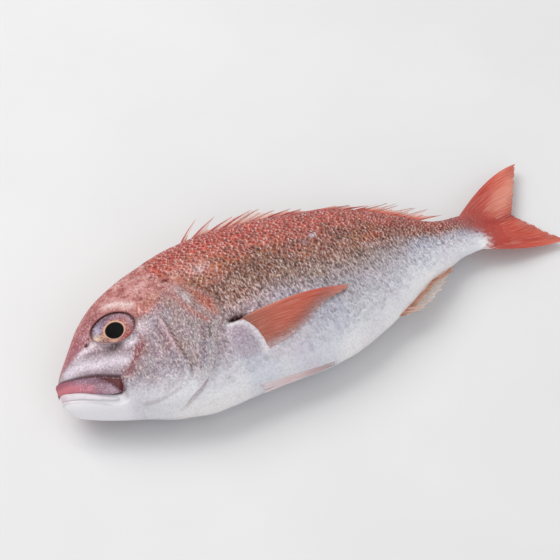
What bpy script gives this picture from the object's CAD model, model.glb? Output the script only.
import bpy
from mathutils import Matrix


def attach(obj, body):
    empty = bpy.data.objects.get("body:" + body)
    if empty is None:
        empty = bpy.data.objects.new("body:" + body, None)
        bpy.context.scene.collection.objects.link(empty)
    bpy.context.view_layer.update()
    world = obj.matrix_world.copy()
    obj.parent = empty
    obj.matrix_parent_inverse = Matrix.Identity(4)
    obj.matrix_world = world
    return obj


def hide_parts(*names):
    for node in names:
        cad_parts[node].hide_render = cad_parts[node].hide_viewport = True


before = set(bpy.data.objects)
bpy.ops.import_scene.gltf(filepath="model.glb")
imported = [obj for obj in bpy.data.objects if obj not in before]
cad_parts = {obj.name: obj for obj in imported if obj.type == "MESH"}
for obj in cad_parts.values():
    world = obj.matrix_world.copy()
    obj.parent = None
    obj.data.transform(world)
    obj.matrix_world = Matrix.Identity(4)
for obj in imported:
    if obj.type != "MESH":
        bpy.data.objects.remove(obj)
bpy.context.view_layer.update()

import math

import bpy
import numpy as np
from mathutils import Vector

scene = bpy.context.scene
dice = np.random.default_rng(11)

# All shapes below are worked out in millimetres, on a straight fish: x from the snout back, y from the
# middle of the body up to the back, z out of the left flank. layDown then puts them on the worktop.
fish = {"length": 300, "depth": 129, "width": 52, "restHeight": 23.6, "tailDroop": 9,
        "snoutX": 177.6646, "middleY": 13.8491, "tailLength": 60, "tailSpread": 72,
        "tailSink": 8, "sinkShift": (0.27, 0.59)}


def smoothLine(*points):
    # a smooth line through a few pairs of numbers, which never overshoots between them
    px = np.array([p[0] for p in points], float)
    py = np.array([p[1] for p in points], float)
    slopes = np.diff(py) / np.diff(px)
    tangents = np.concatenate([slopes[:1], np.zeros(len(px) - 2), slopes[-1:]])
    for i in range(1, len(px) - 1):
        if slopes[i - 1] * slopes[i] > 0:
            tangents[i] = 2 * slopes[i - 1] * slopes[i] / (slopes[i - 1] + slopes[i])

    def at(value):
        value = np.clip(np.asarray(value, float), px[0], px[-1])
        i = np.clip(np.searchsorted(px, value, side="right") - 1, 0, len(px) - 2)
        span = px[i + 1] - px[i]
        u = (value - px[i]) / span
        rise = (3 - 2 * u) * u * u
        bend = tangents[i] * u * (1 - u) ** 2 - tangents[i + 1] * u * u * (1 - u)
        return py[i] * (1 - rise) + py[i + 1] * rise + span * bend
    return at


def mix(a, b, share):
    return a + (b - a) * share


def ease(low, high, value):
    u = np.clip((value - low) / (high - low), 0, 1)
    return u * u * (3 - 2 * u)


def bump(value, centre, width):
    return np.exp(-((value - centre) / width) ** 2)


backLine = smoothLine((-0.008, -0.045), (0, 0.006), (0.04, 0.142), (0.093, 0.294), (0.153, 0.399), (0.243, 0.483),
                      (0.353, 0.537), (0.43, 0.545), (0.547, 0.519), (0.707, 0.442), (0.79, 0.362), (0.867, 0.245),
                      (0.93, 0.148), (0.97, 0.13), (1, 0.128), (1.03, 0.15), (1.075, 0.16))
bellyLine = smoothLine((-0.008, -0.062), (-0.003, -0.128), (0.012, -0.178), (0.047, -0.226), (0.103, -0.282),
                       (0.167, -0.341), (0.217, -0.388), (0.3, -0.43), (0.43, -0.426), (0.54, -0.432),
                       (0.605, -0.418), (0.703, -0.352), (0.79, -0.262), (0.857, -0.18), (0.907, -0.147),
                       (0.96, -0.11), (1, -0.106), (1.03, -0.125), (1.075, -0.13))
widthLine = smoothLine((-0.008, 0), (-0.003, 0.16), (0.012, 0.36), (0.05, 0.56), (0.1, 0.7), (0.16, 0.79),
                       (0.24, 0.9), (0.32, 0.97), (0.42, 1), (0.53, 0.95), (0.67, 0.76), (0.8, 0.54),
                       (0.9, 0.37), (0.96, 0.28), (1, 0.18), (1.03, 0.09), (1.055, 0.035), (1.075, 0))
widestLevel = smoothLine((0, 0.45), (0.1, 0.4), (0.25, 0.36), (0.5, 0.42), (1, 0.5))
backRoundness = smoothLine((0, 2.1), (0.15, 1.95), (0.4, 1.8), (0.9, 1.9), (1, 2))
bellyRoundness = 2.25
droopLine = smoothLine((0, 0), (0.4, 0.02), (0.7, 0.32), (1, 0.85), (1.2, 1))
gillEdge = smoothLine((-90, 58), (-76, 66), (-60, 74), (-49, 82), (-38, 90), (-25, 97), (-16, 100.5), (-5.5, 106), (1.5, 111),
                      (9, 112), (16, 109.5), (24, 104.5), (31, 99), (37, 93), (47, 88.5), (56, 86), (90, 82))

head = {"gillLift": 1.5, "finRoot": (118, -27.5, 10.5, 14)}
orbit = {"x": 45.5, "y": 17.0}
orbitRadius = smoothLine((-30, 14.4), (-6, 14.6), (19, 14.0), (54, 12.8), (92, 12.4), (126, 13.2), (150, 14.3), (172, 14.8),
                         (190, 14.8), (208, 12.9), (241, 11.3), (277, 12.2), (304, 13.2), (330, 14.4))
slitLine = smoothLine((-2, -7.2), (3, -10), (12, -15), (24, -22.6), (30, -25.8), (34, -27))
lipLine = smoothLine((-2, 1.0), (3, -1.3), (10, -4.7), (18, -7.8), (25, -10.8), (31, -14.3), (38, -18.3))


def section(x):
    share = np.asarray(x, float) / fish["length"]
    top = backLine(share) * fish["depth"]
    bottom = bellyLine(share) * fish["depth"]
    middle = mix(bottom, top, widestLevel(share))
    return top, bottom, middle, widthLine(share) * fish["width"] / 2, backRoundness(share)


def ovalShare(x, y, place, power=2.0):
    return (np.abs((x - place[0]) / place[2]) ** power + np.abs((y - place[1]) / place[3]) ** power) ** (1 / power)


def gillFade(angle):
    return ease(-78, -54, angle) * (1 - ease(26, 38, angle))


def smoothPoints(points, steps=6):
    # more points along a soft curve through a few
    p = np.array([points[0]] + list(points) + [points[-1]], float)
    t = np.linspace(0, 1, steps, endpoint=False)[:, None]
    runs = [0.5 * (2 * b + (c - a) * t + (2 * a - 5 * b + 4 * c - d) * t ** 2 + (3 * b - a - 3 * c + d) * t ** 3)
            for a, b, c, d in zip(p, p[1:], p[2:], p[3:])]
    return np.concatenate(runs + [p[-1:]])


def nearLine(x, y, points):
    # distance from a line, with a sign that tells its two sides apart
    points = smoothPoints(points)
    best, side = np.full(np.shape(x), 1e9), np.zeros(np.shape(x))
    for (ax, ay), (bx, by) in zip(points, points[1:]):
        dx, dy = bx - ax, by - ay
        along = np.clip(((x - ax) * dx + (y - ay) * dy) / (dx * dx + dy * dy), 0, 1)
        offX, offY = x - ax - along * dx, y - ay - along * dy
        distance = np.hypot(offX, offY)
        closer = distance < best
        best = np.where(closer, distance, best)
        side = np.where(closer, np.sign(dx * offY - dy * offX), side)
    return side * best


faceLines = {
    "cheekEdge": ((75.3, 13), (75.9, 5), (76.2, -5), (76.8, -15), (77.6, -25), (77.8, -32), (76, -37.5), (71, -41), (63, -42)),
    "lowCheek": ((48, -24.6), (56, -24.4), (66, -24.2), (72.5, -27)),
    "jawSeam": ((44, -38.5), (52, -40.6), (60, -41.6), (68, -41)),
    "streak": ((57.5, -3), (55, -6), (52, -9.5), (48.5, -13), (45, -16.5), (42, -18.5)),
    "nape": ((66, 50), (74, 49), (81, 45.5), (85.5, 40), (88, 35)),
    "gillTop": ((87, 28), (90, 18), (92.5, 9), (95, 3), (98.5, -3), (101, -7)),
    "rust": ((94.5, 37), (99, 25), (103, 13), (106.5, 3), (109, -5)),
    "lobeRim": ((112, -16), (118, -17), (123.5, -22), (126.5, -30), (127.5, -39)),
    "gillPurple": ((96.5, -10), (94.5, -16), (92, -23), (89.5, -30), (85, -36)),
    "gillRim": ((110, -8), (104.5, -15), (100, -24), (96, -32), (90, -40)),
    "gillMark": ((100.6, -11), (98.2, -19)),
    "whiteTop": ((9, 1.5), (15, 5.5), (22, 9.3), (29, 11)),
    "whiteLow": ((8, 0), (16, 0.5), (24, -2.5), (32, -5.5), (40, -8), (45, -10.5)),
    "underEye": ((12, 5), (17, 6), (22, 6.6), (30, 5), (38, 3.6), (46, 2.2)),
    "browPatch": ((49, 36), (53, 34.8), (57, 32.4), (61, 28.8)),
    "lipEnd": ((38.2, -18.5), (35.8, -22.5), (34, -26.6)),
}


def orbitReach(degrees):
    return orbitRadius((degrees + 30) % 360 - 30)


def orbitShare(x, y):
    # 1 at the edge of the eye socket, 0 at its middle
    dx, dy = x - orbit["x"], y - orbit["y"]
    return np.hypot(dx, dy) / orbitReach(np.degrees(np.arctan2(dy, dx)))


def faceRelief(x, y):
    # how far the skin stands out or sinks in, seen from the side
    cheekEdge = nearLine(x, y, faceLines["cheekEdge"])
    fade = (1 - ease(2, 14, y)) * ease(-42, -34, y)
    cheek = -0.5 * ease(-1.2, 1.2, cheekEdge) * (1 - ease(6, 14, cheekEdge)) * fade * (x > 40)
    cheek += (0.2 * bump(cheekEdge, -1.6, 1.6) - 0.25 * bump(cheekEdge, 1.2, 1.0)) * fade
    seams = -0.2 * bump(nearLine(x, y, faceLines["lowCheek"]), 0, 0.9) - 0.3 * bump(nearLine(x, y, faceLines["jawSeam"]), 0, 1)
    brow = 0.3 * bump(nearLine(x, y, faceLines["browPatch"]), 0, 3)
    snout = 0.4 * ease(-0.5, 1.2, y - lipLine(x)) * (1 - ease(2, 15, y - lipLine(x))) * (1 - ease(36, 42, x))
    lipBed = -1.0 * (1 - ease(-0.8, 0.5, y - lipLine(x))) * ease(-7, -4.6, y - slitLine(x)) * (1 - ease(36.5, 38.5, x))
    jaw = -0.5 * bump(y - slitLine(x), -6.2, 1.2) * (1 - ease(24, 34, x))
    hollow = -0.4 * bump(nearLine(x, y, faceLines["underEye"]), 0, 2.2) * ease(20, 38, x)
    nostril = -1.9 * (1 - ease(0.4, 1, ovalShare(x, y, (26.2, 13.4, 1.9, 1.3))))
    nostril -= 1.3 * (1 - ease(0.4, 1, ovalShare(x, y, (28.8, 17.2, 1.1, 0.8))))
    notch = -0.8 * bump(nearLine(x, y, ((86.8, 39), (93.2, 33.4))), 0, 1.6)
    root = 2.0 * (1 - ease(0.2, 1.02, ovalShare(x, y, head["finRoot"], 2.5)))
    armpit = -2.6 * (1 - ease(0.2, 1, ovalShare(x, y + 0.02 * (x - 117), (119, -13.6, 8, 1.7))))
    plates = cheek + seams + brow + snout + lipBed + jaw + hollow + nostril + notch
    return plates * (1 - ease(100, 104, x)) + root + armpit


def headRelief(x, y):
    share = orbitShare(x, y)
    return faceRelief(x, y) + 0.25 * bump(share, 1.2, 0.12) - 6 * (1 - ease(0.92, 1.1, share))


def softFlesh(x, y, turn):
    # slow unevenness of real flesh, a few tenths of a millimetre
    waves = np.sin(x * 0.131 + y * 0.083) + np.sin(x * 0.067 - y * 0.142 + 1.7) + 0.6 * np.sin(x * 0.31 + y * 0.22 + 0.4)
    return 0.16 * waves * np.abs(np.cos(turn))


def skinAt(x, turn, raised=0.0, relief=headRelief):
    # turn runs from -90 degrees at the belly, over the left flank, to 90 at the back, and on over the right
    x = np.asarray(x, float)
    top, bottom, middle, half, backPower = section(x)
    sine, cosine = np.sin(turn), np.cos(turn)
    up, side = np.where(sine >= 0, 1.0, -1.0), np.where(cosine >= 0, 1.0, -1.0)
    power = np.where(sine >= 0, backPower, bellyRoundness)
    reach = np.maximum(np.where(sine >= 0, top - middle, middle - bottom), 0.1)
    climb = np.abs(sine) ** (2 / power)
    spread = np.abs(cosine) ** (2 / power)
    outY = climb ** (power - 1) / reach * up
    outZ = spread ** (power - 1) / np.maximum(half, 0.1) * side
    size = np.hypot(outY, outZ) + 1e-9
    outY, outZ = outY / size, outZ / size
    angle = np.degrees(np.arcsin(np.clip(sine, -1, 1)))
    past = x - gillEdge(angle)
    raisedCover = head["gillLift"] * ease(-50, -4, past)
    crisp = np.where(past <= 0, raisedCover, -0.5 * np.exp(-np.maximum(past, 0) / 2.2))
    cover = mix(crisp, raisedCover * (1 - ease(-3, 7, past)), 0.92 * ease(-54, -40, angle))
    y = middle + up * reach * climb
    stand = cover * gillFade(angle) + relief(x, y) * ease(0.05, 0.45, np.abs(outZ)) + softFlesh(x, y, turn)
    stand = stand * ease(-2.3, 5, x) * (1 - ease(290, 304, x)) + raised
    return np.stack([x, y + outY * stand, side * half * spread + outZ * stand], -1), np.stack([0 * x, outY, outZ], -1)


def turnAt(x, y):
    # the turn of the left flank's point that is seen at x, y from the side
    top, bottom, middle, half, backPower = section(x)
    power = np.where(y >= middle, backPower, bellyRoundness)
    reach = np.where(y >= middle, top - middle, middle - bottom)
    climb = np.clip((np.abs(y - middle) / np.maximum(reach, 0.1)), 0, 1)
    return np.arcsin(climb ** (power / 2)) * np.where(y >= middle, 1, -1)


def riseAt(x, y):
    # -1 at the belly, 0 at the widest level, 1 at the back
    top, bottom, middle, half, backPower = section(x)
    return np.clip(np.where(y >= middle, (y - middle) / (top - middle), (y - middle) / (middle - bottom)), -1, 1)


def flankAt(x, y, raised=0.0, relief=headRelief):
    place, out = skinAt(x, turnAt(x, y), 0.0, relief)
    place = np.stack([np.asarray(x, float), np.asarray(y, float), place[..., 2]], -1)
    return place + out * np.asarray(raised)[..., None] * np.array([0, 0.3, 1.0])


def tailSink(x):
    return fish["tailSink"] * ease(300, 352, x)


def layDown(places):
    # to metres in the frame, with the flesh under the worktop's plane pressed flat
    x, y, z = places[..., 0], places[..., 1], places[..., 2]
    sink = tailSink(x)
    z = z + fish["restHeight"] - fish["tailDroop"] * droopLine(x / fish["length"]) - sink
    z = 0.5 * (z + np.sqrt(z * z + 0.25))
    x, y = x + fish["sinkShift"][0] * sink, y + fish["sinkShift"][1] * sink
    return np.stack([x - fish["snoutX"], y - fish["middleY"], z], -1) / 1000


# Colour. Each is as the eye sees it, 0 to 255, and is turned to the linear values that shaders use.
def lin(colour):
    c = np.asarray(colour, float) / 255
    return np.where(c <= 0.04045, c / 12.92, ((c + 0.055) / 1.055) ** 2.4)


def shade(*stops):
    # a run of colours over a number
    at = [s[0] for s in stops]
    colours = np.array([lin(s[1]) for s in stops])
    return lambda value: np.stack([np.interp(value, at, colours[:, i]) for i in range(3)], -1)


def tint(paint, mask, colour):
    return mix(paint, lin(colour), np.clip(mask, 0, 1)[..., None])


def cloud(x, y, size, seed):
    # soft random blotches between about -1 and 1
    total = 0
    for k in range(5):
        a = seed * 1.7 + k * 2.399
        f = (0.7 + 0.28 * k) / size
        total = total + np.sin(f * (x * math.cos(a) + y * math.sin(a)) + seed * 3.1 + k * 1.9
                               + 1.1 * np.sin(f * 0.6 * (y * math.cos(a * 1.3) - x * math.sin(a * 1.3)) + k))
    return total / 3.2


trunkShades = {
    "front": shade((-1, (230, 228, 228)), (-0.95, (226, 226, 229)), (-0.8, (211, 210, 216)), (-0.6, (190, 185, 194)),
                   (-0.4, (174, 160, 171)), (-0.15, (166, 150, 157)), (0, (160, 138, 138)), (0.15, (146, 112, 98)),
                   (0.3, (136, 92, 72)), (0.45, (160, 96, 74)), (0.6, (182, 106, 88)), (0.85, (186, 88, 76)),
                   (0.95, (186, 100, 92)), (1, (186, 78, 70))),
    "middle": shade((-1, (231, 230, 231)), (-0.95, (229, 229, 232)), (-0.7, (208, 209, 216)), (-0.5, (188, 188, 196)),
                    (-0.15, (168, 158, 160)), (0, (150, 132, 124)), (0.15, (150, 116, 101)), (0.3, (150, 99, 79)),
                    (0.45, (162, 98, 79)), (0.6, (186, 106, 92)), (0.85, (180, 90, 76)), (0.95, (178, 92, 80)),
                    (1, (186, 76, 66))),
    "rear": shade((-1, (240, 238, 238)), (-0.7, (238, 239, 242)), (-0.5, (222, 222, 230)), (-0.3, (210, 209, 219)),
                  (-0.15, (184, 181, 192)), (0, (166, 152, 158)), (0.15, (150, 120, 117)), (0.3, (150, 94, 80)),
                  (0.6, (158, 78, 62)), (0.9, (168, 80, 66)), (1, (178, 68, 56)))}


def paintTrunk(x, y, rise):
    rise = np.clip(rise + 0.05 * cloud(x, y, 16, 2) * (1 - rise ** 2) + 0.03 * cloud(x, y, 6, 5), -1, 1)
    paint = mix(trunkShades["front"](rise), trunkShades["middle"](rise), ease(140, 200, x)[..., None])
    paint = mix(paint, trunkShades["rear"](rise), ease(215, 270, x)[..., None])
    warm = ease(0.3, 0.55, rise)[..., None] * np.array([0.15, 0.03, 0.01])
    paint = paint * (1 + warm + 0.07 * ease(-0.2, -0.5, rise)[..., None])
    # ochre, rust and slate patches over the upper flank
    upper = ease(0.08, 0.3, rise) * (1 - ease(0.62, 0.8, rise)) * (1 - ease(250, 280, x)) * ease(92, 112, x)
    paint = tint(paint, upper * ease(0.15, 0.9, cloud(x, y, 9, 3)) * 0.6, (178, 118, 52))
    paint = tint(paint, upper * ease(0.2, 0.9, cloud(x, y, 7, 8)) * 0.6, (166, 72, 48))
    paint = tint(paint, upper * ease(0.1, 1.0, cloud(x, y, 5, 14)) * 0.5, (96, 70, 54))
    lines = ease(0.1, 0.9, cloud(x, y * 0.16, 0.75, 71)) * ease(-0.1, 0.1, rise) * (1 - ease(0.42, 0.6, rise))
    paint = tint(paint, 0.55 * lines * ease(122, 140, x) * (1 - ease(225, 250, x)), (82, 60, 50))
    silver = (1 - ease(-0.05, 0.2, rise)) * ease(104, 116, x)
    paint = tint(paint, silver * ease(0, 0.9, cloud(x, y, 13, 31)) * 0.35, (172, 180, 204))
    paint = tint(paint, silver * ease(0.1, 0.9, cloud(x, y, 10, 41)) * 0.25, (205, 188, 204))
    return tint(paint, 0.85 * ease(0.86, 0.96, rise) * ease(96, 110, x) * (1 - ease(288, 296, x)), (178, 62, 54))


# x, y, half length, half height, strength and colour of the marks that this fish has on its flank
bodyPatches = (
    (107, 36, 14, 10, 0.55, (230, 172, 158)), (148, 11, 22, 8, 0.4, (130, 96, 66)), (276, -8, 18, 5, 0.5, (240, 238, 242)),
    (71, -27, 8, 7, 0.4, (146, 134, 142)), (168, -22, 10, 6, 0.4, (160, 156, 158)), (206, 12, 24, 6, 0.3, (150, 104, 82)),
    (110, 25.5, 6, 4, 0.75, (178, 126, 66)), (112, 33.5, 3.6, 3.2, 0.9, (232, 220, 222)), (103.5, 10, 3.4, 6, 0.7, (176, 98, 80)),
    (107, 3.5, 4, 5, 0.8, (174, 92, 76)), (114, 5, 1.0, 4, 0.75, (78, 56, 50)), (103, 24, 2, 3, 0.6, (92, 66, 62)),
    (141, 27, 7, 4, 0.6, (160, 98, 46)), (155, 27, 5, 4, 0.6, (192, 138, 76)), (144, 19, 5, 5, 0.6, (94, 58, 44)),
    (137, 12, 6, 5, 0.5, (138, 108, 72)), (167, 33, 4, 3, 0.5, (184, 112, 62)), (176, 25, 8, 4, 0.5, (168, 82, 60)),
    (183, -1, 5, 3.5, 0.5, (170, 142, 92)), (163, 9, 6, 5, 0.4, (140, 124, 82)), (192, 30.5, 3, 2.2, 0.8, (214, 212, 222)),
    (185, 26, 3, 4, 0.5, (196, 176, 182)), (194, 15, 5, 3, 0.5, (124, 62, 46)), (173, 4, 1.6, 7, 0.6, (98, 78, 66)),
    (191, 4, 1.8, 6, 0.5, (104, 82, 70)), (215, 27, 3, 3, 0.6, (106, 58, 40)), (228, 23, 3, 3, 0.6, (100, 48, 38)),
    (218, 18, 7, 4, 0.5, (160, 114, 70)), (224, 10, 4, 3, 0.5, (172, 150, 158)), (233, 45, 9, 3, 0.5, (176, 66, 48)),
    (258, 10, 6, 3, 0.7, (166, 104, 60)), (262, 25, 5, 3, 0.6, (158, 70, 52)), (246, 8, 4, 3, 0.5, (172, 160, 164)),
    (200, -14, 12, 4, 0.4, (168, 176, 186)), (95.4, 37.4, 2.6, 2.4, 0.7, (236, 196, 178)), (90.2, 36.4, 3.2, 1.7, 1, (118, 22, 22)))


def tailRed(x, y):
    far = np.clip((x - fish["length"]) / 55, 0, 1)
    paint = shade((0, (170, 84, 80)), (0.2, (176, 76, 68)), (0.45, (198, 76, 62)), (0.7, (212, 88, 70)), (1, (226, 124, 102)))(far)
    inner = bump(y, 4 + 21 * far, 6 + 6 * far) * ease(0.25, 0.6, far) * (y > 3)
    paint = tint(paint, 0.85 * inner, (234, 160, 140))
    paint = tint(paint, 0.7 * bump(y, 1 - 10 * far, 4) * ease(0.5, 0.8, far), (228, 148, 128))
    paint = tint(paint, 0.75 * bump(y, 3, 2.6) * ease(0.1, 0.3, far) * (1 - ease(0.62, 0.72, far)), (158, 56, 52))
    paint = tint(paint, 0.5 * bump(y, -11 - 14 * far, 4) * ease(0.2, 0.45, far), (176, 60, 52))
    return tint(paint, 0.4 * ease(0, 1, cloud(x, y, 6, 51)), (180, 70, 60))


def paintTail(x, y, trunk):
    # silver scales run out over the root of the tail fin and give way to its red
    reach = np.interp(y, [-24, -16, -12, -6, 0, 5, 10, 16, 24], [303, 304.5, 305, 305.5, 302.5, 298, 293.5, 289, 288])
    reach = reach + 3.5 * cloud(x, y, 0.6, 90)
    paint = tint(trunk, 0.75 * bump(x - reach, -1, 6) * ease(-10, 4, y), (160, 98, 106))
    return mix(paint, tailRed(x, y), ease(-4.5, 6, x - reach)[..., None])


def paintBody(x, y):
    rise = riseAt(x, y)
    paint = paintHead(x, y, rise, paintTail(x, y, paintTrunk(x, y, rise)))
    for px, py, wide, high, strength, colour in bodyPatches:
        paint = tint(paint, strength * bump(x, px, wide) * bump(y, py, high), colour)
    return paint


def paintHead(x, y, rise, trunk):
    # snout and forehead, crimson
    paint = shade((0, (150, 94, 112)), (14, (164, 104, 119)), (32, (162, 96, 104)), (50, (180, 110, 107)),
                  (64, (194, 124, 117)), (88, (184, 110, 102)))(x)
    paint = tint(paint, 0.8 * ease(0.72, 0.95, rise), (180, 101, 98))
    paint = tint(paint, 0.75 * bump(x, 71, 12) * bump(y, 39.5, 6.5), (212, 160, 159))
    paint = tint(paint, 0.6 * bump(x, 86, 7) * bump(y, 24, 8), (172, 136, 138))
    # the silver of the cheeks and the white of the jaw
    red = ease(30, 44, x + 0.3 * y) * ease(96, 86, x)
    paint = tint(paint, 0.6 * red * ease(0.0, 0.7, cloud(x, y, 1.9, 7)), (222, 172, 168))
    paint = tint(paint, 0.6 * ease(0.0, 0.7, cloud(x, y, 1.6, 17)), (148, 62, 62))
    browLine = y - np.interp(x, [0, 10, 20, 28, 36, 46, 62, 72, 84, 104], [1, 6, 10.5, 16, 26, 28, 16, 17, 27, 27])
    face = 1 - ease(-2.5, 2.5, browLine + 1.2 * cloud(x, y, 5, 4))
    faceShade = shade((-60, (240, 240, 243)), (-44, (226, 226, 230)), (-35, (212, 210, 217)), (-28, (184, 178, 188)),
                      (-20, (154, 138, 146)), (-8, (146, 128, 137)), (4, (154, 136, 144)), (12, (160, 136, 141)),
                      (20, (162, 126, 128)), (30, (168, 124, 126)))(y)
    gillShade = shade((-60, (238, 238, 241)), (-45, (210, 209, 214)), (-30, (166, 155, 159)), (-15, (146, 134, 136)),
                      (5, (146, 124, 125)), (18, (150, 122, 121)), (30, (160, 120, 119)))(y)
    paint = mix(paint, mix(faceShade, gillShade, ease(76, 82, x)[..., None]), face[..., None])
    cheeks = face * ease(-38, -22, y) * ease(44, 56, x)
    for size, seed, colour in ((5, 23, (150, 108, 100)), (4.5, 29, (150, 158, 172)), (3.2, 37, (146, 112, 134))):
        paint = tint(paint, 0.38 * ease(0.1, 0.9, cloud(x, y, size, seed)) * cheeks, colour)
    marks = (("whiteTop", 0, 2.6, 0.9, (218, 202, 213)), ("whiteLow", 0, 4.2, 0.9, (214, 204, 216)),
             ("underEye", 0, 1.4, 0.4, (110, 84, 98)), ("streak", 0, 2.8, 0.85, (124, 54, 68)), ("rust", 0, 2.8, 0.7, (180, 110, 84)),
             ("lowCheek", 0, 0.9, 0.4, (112, 98, 108)), ("jawSeam", 0, 0.9, 0.35, (158, 142, 148)),
             ("browPatch", 0, 3.2, 0.75, (246, 222, 218)), ("nape", 0, 1.8, 0.45, (228, 186, 181)),
             ("gillTop", 0, 2.2, 0.75, (158, 88, 80)), ("gillPurple", 0, 1.7, 0.6, (112, 82, 94)),
             ("gillRim", 0, 1.9, 0.25, (220, 206, 202)), ("gillMark", 0, 0.9, 0.85, (74, 54, 56)))
    for line, off, wide, strength, colour in marks:
        paint = tint(paint, strength * bump(nearLine(x, y, faceLines[line]), off, wide), colour)
    # x, y, half length, half height, strength and colour
    for px, py, wide, high, strength, colour in (
            (41.5, 2.6, 6.5, 3.2, 1.1, (56, 34, 46)), (33, 4.4, 5, 1.8, 0.4, (120, 96, 112)), (46, -1.5, 3, 3, 0.45, (140, 110, 126)),
            (54.5, -5, 3, 3, 0.6, (136, 56, 70)), (91, 27, 4, 7, 0.6, (198, 160, 162)), (95.5, 15, 1.6, 4, 0.6, (206, 196, 198)),
            (106.5, 4, 2.6, 6, 0.75, (166, 78, 58)), (44, -15, 5, 3, 0.4, (150, 112, 112)), (72.5, -2, 2.6, 9, 0.45, (138, 102, 116)),
            (52, 0.5, 4, 2.4, 0.85, (232, 220, 230)), (58.5, 1.5, 1.7, 1.6, 0.8, (124, 74, 84)), (62.5, 8, 3.6, 5, 0.85, (228, 210, 217)),
            (62, 17, 2.6, 4, 0.7, (150, 100, 96)), (75, 25.5, 8, 4.6, 0.85, (182, 122, 109)), (53, -18, 7, 4, 0.5, (160, 136, 136)),
            (89, -33, 2.6, 5, 0.5, (150, 150, 170)), (32, 34, 9, 3, 0.5, (160, 98, 106)), (27, 20, 4, 4, 0.5, (200, 156, 166)),
            (69, 5, 3, 3, 0.4, (196, 188, 194)), (40, -30, 6, 3, 0.5, (222, 218, 226))):
        paint = tint(paint, strength * bump(x, px, wide) * bump(y, py, high), colour)
    cheekEdge = nearLine(x, y, faceLines["cheekEdge"])
    fade = (1 - ease(4, 14, y)) * ease(-44, -30, y)
    paint = tint(paint, 0.5 * bump(cheekEdge, -4.6, 2.4) * fade, (122, 92, 106))
    paint = tint(paint, 0.7 * bump(cheekEdge, -0.9, 1.3) * fade * ease(-26, -14, y), (226, 190, 198))
    paint = tint(paint, 0.85 * bump(cheekEdge, 1.5, 1.2) * fade, (102, 76, 70))
    paint = tint(paint, 0.25 * bump(y - lipLine(x), 1.8, 1.6) * (1 - ease(34, 40, x)) * ease(8, 22, x), (130, 100, 118))
    jaw = ease(-1, 1, slitLine(x) - y) * (1 - ease(32, 42, x))
    paint = tint(paint, jaw, (236, 234, 239))
    lipBed = ease(0.4, -0.4, y - lipLine(x)) * ease(-1, 0.4, y - slitLine(x)) * (1 - ease(36, 38.5, x))
    paint = tint(paint, 0.9 * lipBed, (88, 50, 58))
    paint = tint(paint, 0.5 * bump(y - slitLine(x), -6.6, 0.9) * (1 - ease(22, 30, x)), (186, 172, 180))
    paint = tint(paint, 0.75 * bump(y, lipLine(x) + 0.1, 0.6) * (1 - ease(37, 39, x)), (78, 44, 54))
    paint = tint(paint, 0.9 * bump(y, slitLine(x), 0.9) * (1 - ease(33, 36, x)), (60, 30, 34))
    paint = tint(paint, 0.7 * bump(nearLine(x, y, faceLines["lipEnd"]), 0, 0.9), (110, 70, 80))
    paint = tint(paint, 0.5 * bump(x, 36.6, 1.4) * bump(y, -28.5, 2.5), (140, 118, 130))
    hole = 1 - ease(0.5, 1.2, ovalShare(x, y, (26.2, 13.4, 2.0, 1.4)))
    paint = tint(paint, 0.85 * hole, (104, 42, 50))
    behind = ease(-1.2, 1.2, x - gillEdge(np.degrees(turnAt(x, y))) - np.where(rise > 0.6, 5 * cloud(x, y, 7, 6) - 4, 0))
    paint = mix(paint, trunk, behind[..., None])
    paint = tint(paint, 1.0 * bump(nearLine(x, y, ((87.6, 38.2), (90.4, 36), (92.8, 34))), 0, 1.9), (126, 30, 28))
    edge = x - gillEdge(np.degrees(turnAt(x, y)))
    crease = bump(edge, 0.6, 1.0) * ease(-86, -70, np.degrees(turnAt(x, y)))
    paint = tint(paint, 0.6 * crease * (1 - ease(-44, -36, y)), (150, 116, 120))
    paint = tint(paint, 0.35 * crease * ease(-44, -36, y) * (1 - ease(4, 18, y)), (118, 92, 88))
    lobe = 1 - ease(0.75, 1.1, ovalShare(x, y, head["finRoot"], 2.5))
    paint = tint(paint, 0.75 * lobe, (178, 166, 178))
    paint = tint(paint, 0.65 * lobe * bump(x, 115, 5) * bump(y, -24, 7), (148, 128, 148))
    paint = tint(paint, 0.95 * bump(nearLine(x, y, faceLines["lobeRim"]), 0.3, 2.3), (230, 225, 231))
    shadow = bump(x, 119, 6) * ease(-15.5, -13, y) * (1 - ease(-12, -6.5, y))
    paint = tint(paint, 0.8 * shadow, (92, 52, 50))
    slit = 1 - ease(0.6, 1.3, ovalShare(x, y + 0.02 * (x - 117), (119, -13.8, 8.5, 2.1)))
    return tint(paint, slit, (50, 22, 24))


def speckleAmount(x, y):
    # how mottled the bare skin is: the silver of the face most, the jaw and belly least
    rise = riseAt(x, y)
    jaw = ease(-1, 1.5, slitLine(x) - y) * (1 - ease(30, 44, x))
    lobe = 1 - ease(0.8, 1.15, ovalShare(x, y, head["finRoot"], 2.5))
    slit = ease(1.6, 0.9, ovalShare(x, y, (119, -12.5, 9, 4)))
    lips = bump(y, lipLine(x) + 0.4, 1.3) * (1 - ease(37, 39, x))
    snout = (1 - ease(44, 52, x)) * bump(y, 0, 12)
    calm = (1 - slit) * (1 - lips) * (1 - 0.4 * snout) * (1 - 0.4 * bump(x, 41, 7) * bump(y, 2.6, 3.5)) * (1 - 0.85 * jaw) * (1 - 0.3 * ease(0.4, 0.8, rise)) * (1 - 0.25 * lobe) * (1 - 0.85 * ease(278, 300, x))
    return np.clip(mix(0.28, 0.85, ease(-0.85, -0.45, rise)) * calm, 0, 1)


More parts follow.
